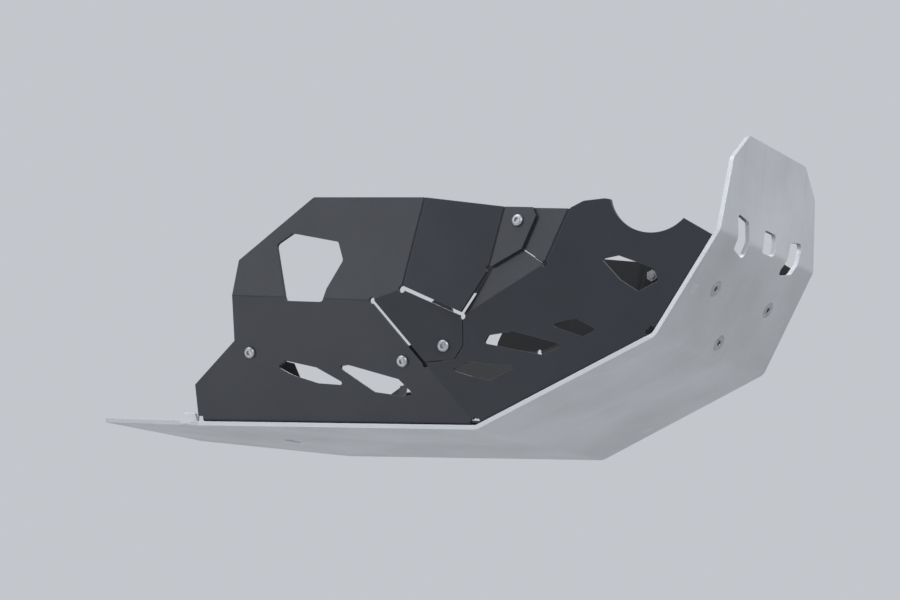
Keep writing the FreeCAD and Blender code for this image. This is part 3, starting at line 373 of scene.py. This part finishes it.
# Studio light: an even pale surround, and six soft lamps turned to the guard. The key lamp is tall,
# to the rear on the right, and the panels' rearward facets pick up its glow. The low and left lamps
# spare the floor, where they would leave streaks.
SURROUND_LIGHT = 0.49
SURROUND_SHOWN = 0.60
SURROUND_TINT = (0.91, 0.943, 1.0, 1.0)
KEY_POWER = 5.5
KEY_SIZE = (0.5, 1.1)
KEY_SPOT = (-1.32, -2.38, 0.90)
FRONT_POWER = 22.0
FRONT_SIZE = (1.4, 1.2)
FRONT_SPOT = (2.0, -1.2, 1.1)
OVERHEAD_POWER = 30.0
OVERHEAD_SIZE = (2.0, 1.8)
OVERHEAD_SPOT = (-0.7, -0.9, 2.2)
FAR_POWER = 2.2
FAR_SIZE = (2.0, 1.4)
FAR_SPOT = (1.45, 2.3, 0.4)
LOW_POWER = 0.8
LOW_SIZE = (0.7, 0.3)
LOW_SPOT = (-0.6, -1.02, -0.28)
LEFT_POWER = 9.0
LEFT_SIZE = (1.0, 1.2)
LEFT_SPOT = (-1.3, 2.2, 1.1)
LAMP_TINT = (0.93, 0.96, 1.0)
LAMP_TARGET = (0.0, 0.0, 0.1)

world = bpy.data.worlds.new("studio")
bpy.context.scene.world = world
world.use_nodes = True
tree = world.node_tree
background = tree.nodes["Background"]
background.inputs["Color"].default_value = SURROUND_TINT
rays = tree.nodes.new("ShaderNodeLightPath")
shown = rays.outputs["Is Camera Ray"]
for kind in ("Is Glossy Ray", "Is Transmission Ray"):
    either = tree.nodes.new("ShaderNodeMath")
    either.operation = "MAXIMUM"
    tree.links.new(shown, either.inputs[0])
    tree.links.new(rays.outputs[kind], either.inputs[1])
    shown = either.outputs["Value"]
strength = add_range(tree, shown, (SURROUND_LIGHT, SURROUND_SHOWN), MASK_RISE)
tree.links.new(strength, background.inputs["Strength"])


def soft_lamp(name, power, size, spot):
    """The holder of a rectangular area lamp of the size, at a spot and turned to the guard."""
    lamp = bpy.data.lights.new(name, "AREA")
    lamp.energy = power
    lamp.color = LAMP_TINT
    lamp.shape = "RECTANGLE"
    lamp.size, lamp.size_y = size
    holder = bpy.data.objects.new(name, lamp)
    holder.location = spot
    aim = Vector(LAMP_TARGET) - Vector(spot)
    holder.rotation_euler = aim.to_track_quat("-Z", "Y").to_euler()
    bpy.context.scene.collection.objects.link(holder)
    return holder


soft_lamp("key_lamp", KEY_POWER, KEY_SIZE, KEY_SPOT)
soft_lamp("front_lamp", FRONT_POWER, FRONT_SIZE, FRONT_SPOT)
soft_lamp("overhead_lamp", OVERHEAD_POWER, OVERHEAD_SIZE, OVERHEAD_SPOT)
soft_lamp("far_lamp", FAR_POWER, FAR_SIZE, FAR_SPOT)
low_lamp = soft_lamp("low_lamp", LOW_POWER, LOW_SIZE, LOW_SPOT)
left_lamp = soft_lamp("left_lamp", LEFT_POWER, LEFT_SIZE, LEFT_SPOT)
spared = bpy.data.collections.new("spared_floor")
spared.objects.link(floor)
spared.collection_objects[0].light_linking.link_state = "EXCLUDE"
for lamp in (low_lamp, left_lamp):
    lamp.light_linking.receiver_collection = spared

# Camera: where the photograph was taken from, low and ahead of the right-hand side.
# It looks up at the guard with a long lens, so that the guard fills the frame.
CAMERA_SPOT = (1.1898, -1.9473, -0.2052)
CAMERA_TURN_DEGREES = (98.618, -3.933, 30.011)
CAMERA_LENS = 96.8

camera = bpy.data.cameras.new("camera")
camera.lens = CAMERA_LENS
camera_holder = bpy.data.objects.new("camera", camera)
camera_holder.location = CAMERA_SPOT
camera_holder.rotation_euler = [math.radians(turn) for turn in CAMERA_TURN_DEGREES]
bpy.context.scene.collection.objects.link(camera_holder)
bpy.context.scene.camera = camera_holder
bpy.context.scene.view_settings.view_transform = "Standard"
